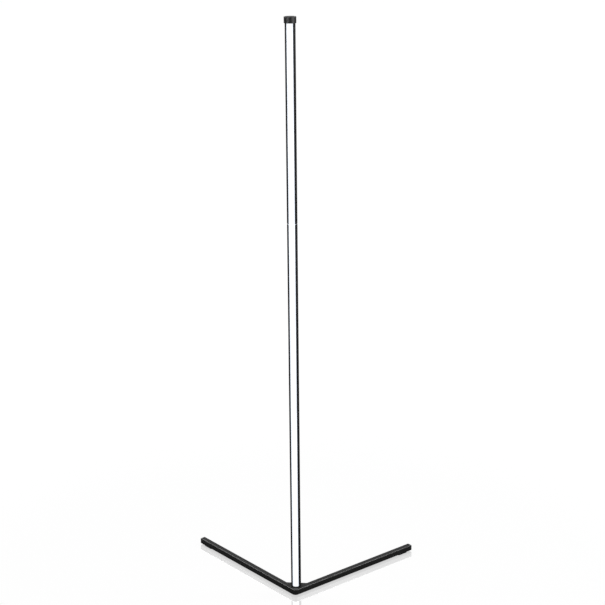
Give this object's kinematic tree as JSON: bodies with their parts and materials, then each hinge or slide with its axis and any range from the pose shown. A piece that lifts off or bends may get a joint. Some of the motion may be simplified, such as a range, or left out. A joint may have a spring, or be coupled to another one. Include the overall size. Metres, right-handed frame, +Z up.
{
  "type": "floor lamp",
  "caption": "Slim round corner floor lamp: black plug-together column with one opal light window on a flat V-shaped base.",
  "frame": {"origin": "on the column's axis at floor level, in the middle of the round foot's lower face", "axes": "+Z up along the column; the light window faces -Y, into the room corner; the base's arms run back towards +X+Y and -X+Y"},
  "size_m": [0.5744, 0.2933, 1.447],
  "materials": {
    "black_aluminium": "satin black anodised, extruded",
    "opal_cover": "opal polycarbonate, lit from behind",
    "black_steel": "satin black powder coat on steel",
    "black_plastic": "satin black ABS, moulded",
    "black_rubber": "matte black rubber",
    "zinc_screws": "zinc-plated steel",
    "black_screws": "black oxide steel",
    "bare_aluminium": "bare extruded aluminium",
    "jack_plastic": "black nylon with a plated centre pin",
    "lead_sheath": "black PVC sheath",
    "connector_plastic": "natural nylon connector body",
    "strip_board": "white solder mask on the light strip's board",
    "led_package": "phosphor-filled LED package, lit"
  },
  "bodies": {
    "base": {"corner_hub": "black_steel", "hub_cover": "black_steel", "cover_screws": "zinc_screws", "right_arm": "black_steel", "left_arm": "black_steel", "arm_screws": "zinc_screws", "right_end_cap": "black_plastic", "left_end_cap": "black_plastic", "right_foot": "black_rubber", "left_foot": "black_rubber", "corner_foot": "black_rubber", "column_bolt": "zinc_screws", "foot_plug": "bare_aluminium", "power_jack": "jack_plastic", "jack_nut": "zinc_screws", "supply_lead": "lead_sheath", "lead_connector": "connector_plastic", "lower_tube": "black_aluminium", "lower_diffuser": "opal_cover", "lower_strip_board": "strip_board", "lower_leds": "led_package", "lower_grub_screws": "black_screws", "lower_socket": "connector_plastic", "lower_spigot": "bare_aluminium", "window_end_stop": "black_plastic"},
    "middle_section": {"middle_tube": "black_aluminium", "middle_diffuser": "opal_cover", "middle_strip_board": "strip_board", "middle_leds": "led_package", "middle_grub_screws": "black_screws", "middle_socket": "connector_plastic", "middle_spigot": "bare_aluminium", "middle_header": "connector_plastic"},
    "upper_section": {"upper_tube": "black_aluminium", "upper_diffuser": "opal_cover", "upper_strip_board": "strip_board", "upper_leds": "led_package", "upper_grub_screws": "black_screws", "upper_header": "connector_plastic", "top_plug": "black_plastic", "top_cap": "black_plastic"}
  },
  "joints": [
    {"name": "middle_lift", "type": "slide", "parent": "base", "child": "middle_section", "axis": [0, 0, 1], "range_m": [0, 0.042]},
    {"name": "upper_lift", "type": "slide", "parent": "middle_section", "child": "upper_section", "axis": [0, 0, 1], "range_m": [0, 0.042]}
  ]
}
